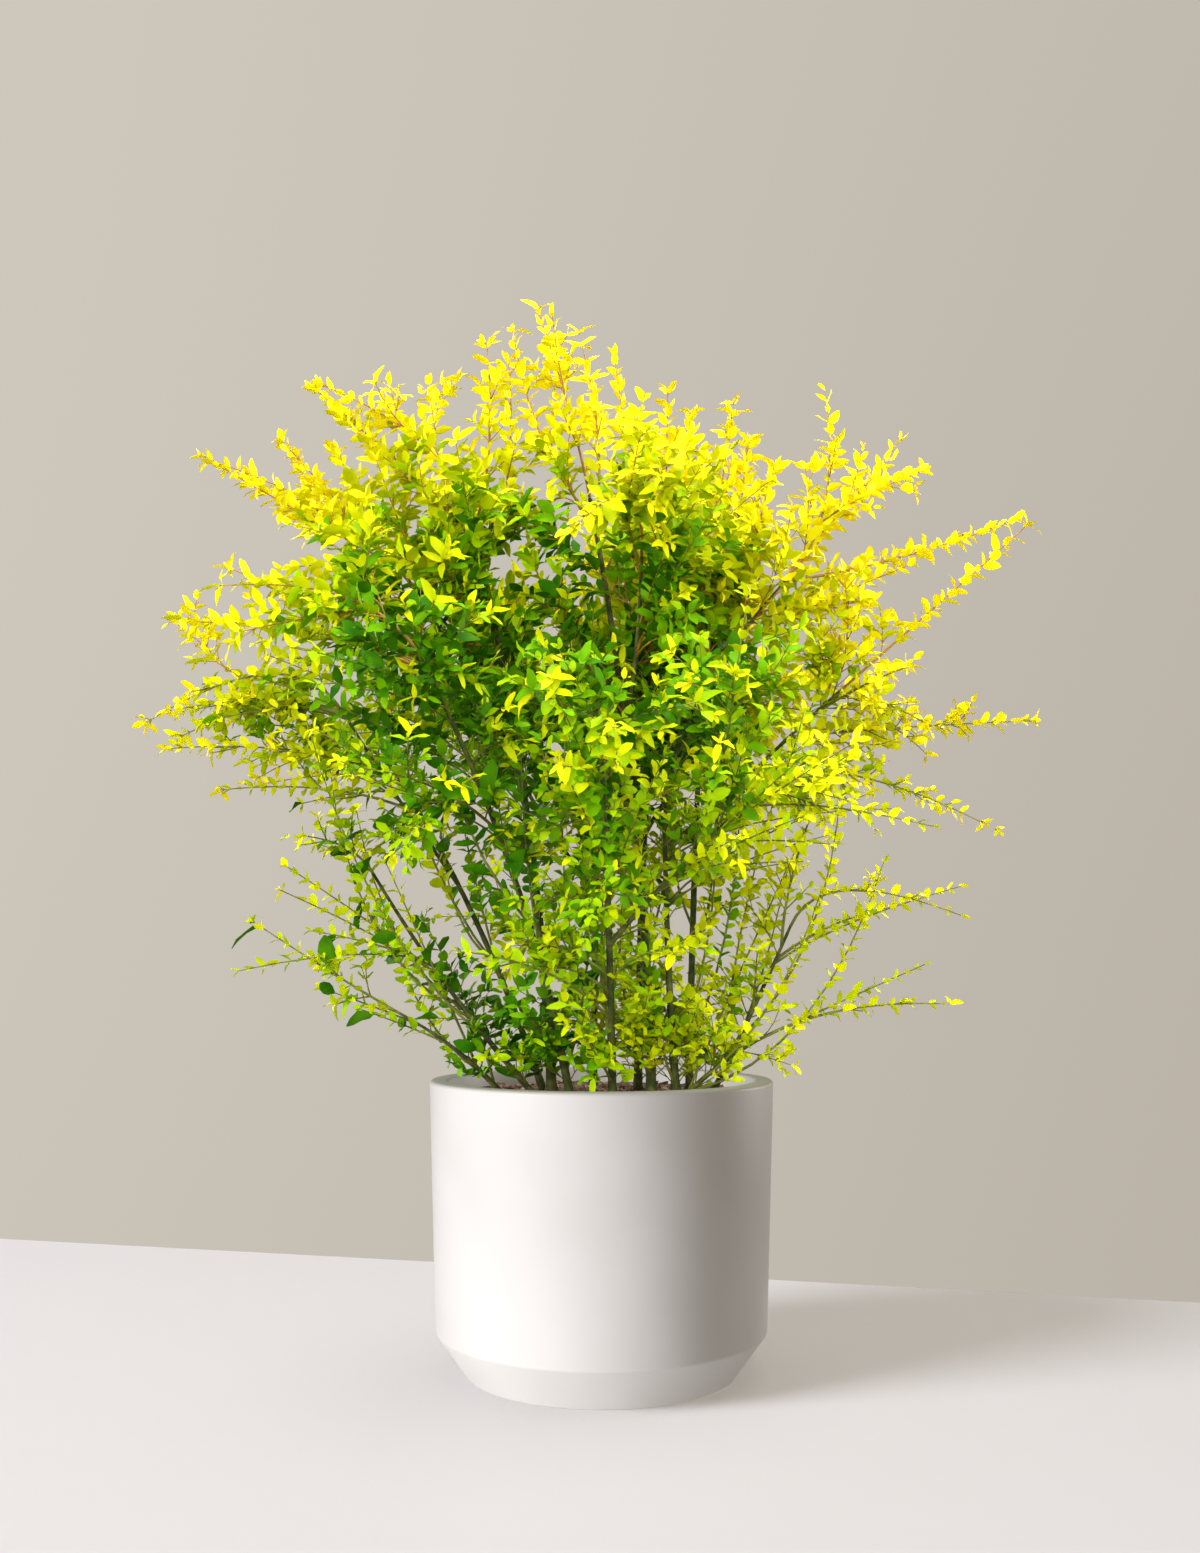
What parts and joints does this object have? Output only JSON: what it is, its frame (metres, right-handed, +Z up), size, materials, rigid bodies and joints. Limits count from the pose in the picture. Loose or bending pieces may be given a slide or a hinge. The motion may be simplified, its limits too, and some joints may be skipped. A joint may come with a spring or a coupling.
{
  "type": "potted privet shrub",
  "caption": "Golden-leaved Chinese privet shrub of thin stems and long leafy shoots, growing in a round white pot that stands on its flat underside.",
  "frame": {"origin": "centre of the pot's flat underside", "axes": "+Z up along the pot's axis, +X to the shrub's right as seen from its front, +Y to its back"},
  "size_m": [1.1471, 0.8939, 1.2845],
  "materials": {
    "pot": "satin",
    "soil": "matte",
    "bark": "matte",
    "leaf_gold": "satin",
    "leaf_lemon": "satin",
    "leaf_lime": "satin",
    "leaf_green": "satin"
  },
  "bodies": {
    "root": {"pot": "pot", "soil": "soil", "stem_01": "bark", "stem_02": "bark", "stem_03": "bark", "stem_04": "bark", "stem_05": "bark", "stem_06": "bark", "stem_07": "bark", "stem_08": "bark", "stem_09": "bark", "stem_10": "bark", "stem_11": "bark", "stem_12": "bark", "stem_13": "bark", "bough_01": "bark", "bough_02": "bark", "bough_03": "bark", "bough_04": "bark", "bough_05": "bark", "bough_06": "bark", "bough_07": "bark", "bough_08": "bark", "foliage_nose": "leaf_gold", "foliage_upper_left": "leaf_gold", "foliage_left": "leaf_lemon", "foliage_left_tip": "leaf_lemon", "foliage_lower_left": "leaf_lime", "foliage_left_skirt": "leaf_lime", "foliage_low_left": "leaf_lime", "foliage_crest": "leaf_gold", "foliage_top": "leaf_gold", "foliage_top_right": "leaf_gold", "foliage_right_shoulder": "leaf_gold", "foliage_right_crest": "leaf_gold", "foliage_right_top": "leaf_gold", "foliage_right_tip": "leaf_lemon", "foliage_right": "leaf_lemon", "foliage_right_arm": "leaf_lemon", "foliage_right_low_arm": "leaf_lime", "foliage_right_skirt": "leaf_lime", "foliage_low_right": "leaf_lime", "foliage_low_right_tip": "leaf_lime", "foliage_front_left_high": "leaf_green", "foliage_front_high": "leaf_green", "foliage_front_right_high": "leaf_green", "foliage_front_left": "leaf_lime", "foliage_front": "leaf_lime", "foliage_front_right": "leaf_lime", "foliage_front_low_left": "leaf_green", "foliage_front_low": "leaf_lime", "foliage_front_low_right": "leaf_green", "foliage_back_left_high": "leaf_gold", "foliage_back_high": "leaf_gold", "foliage_back_right_high": "leaf_gold", "foliage_back_left": "leaf_lemon", "foliage_back": "leaf_lemon", "foliage_back_right": "leaf_lemon", "foliage_back_low_left": "leaf_green", "foliage_back_low_right": "leaf_green"}
  },
  "joints": []
}
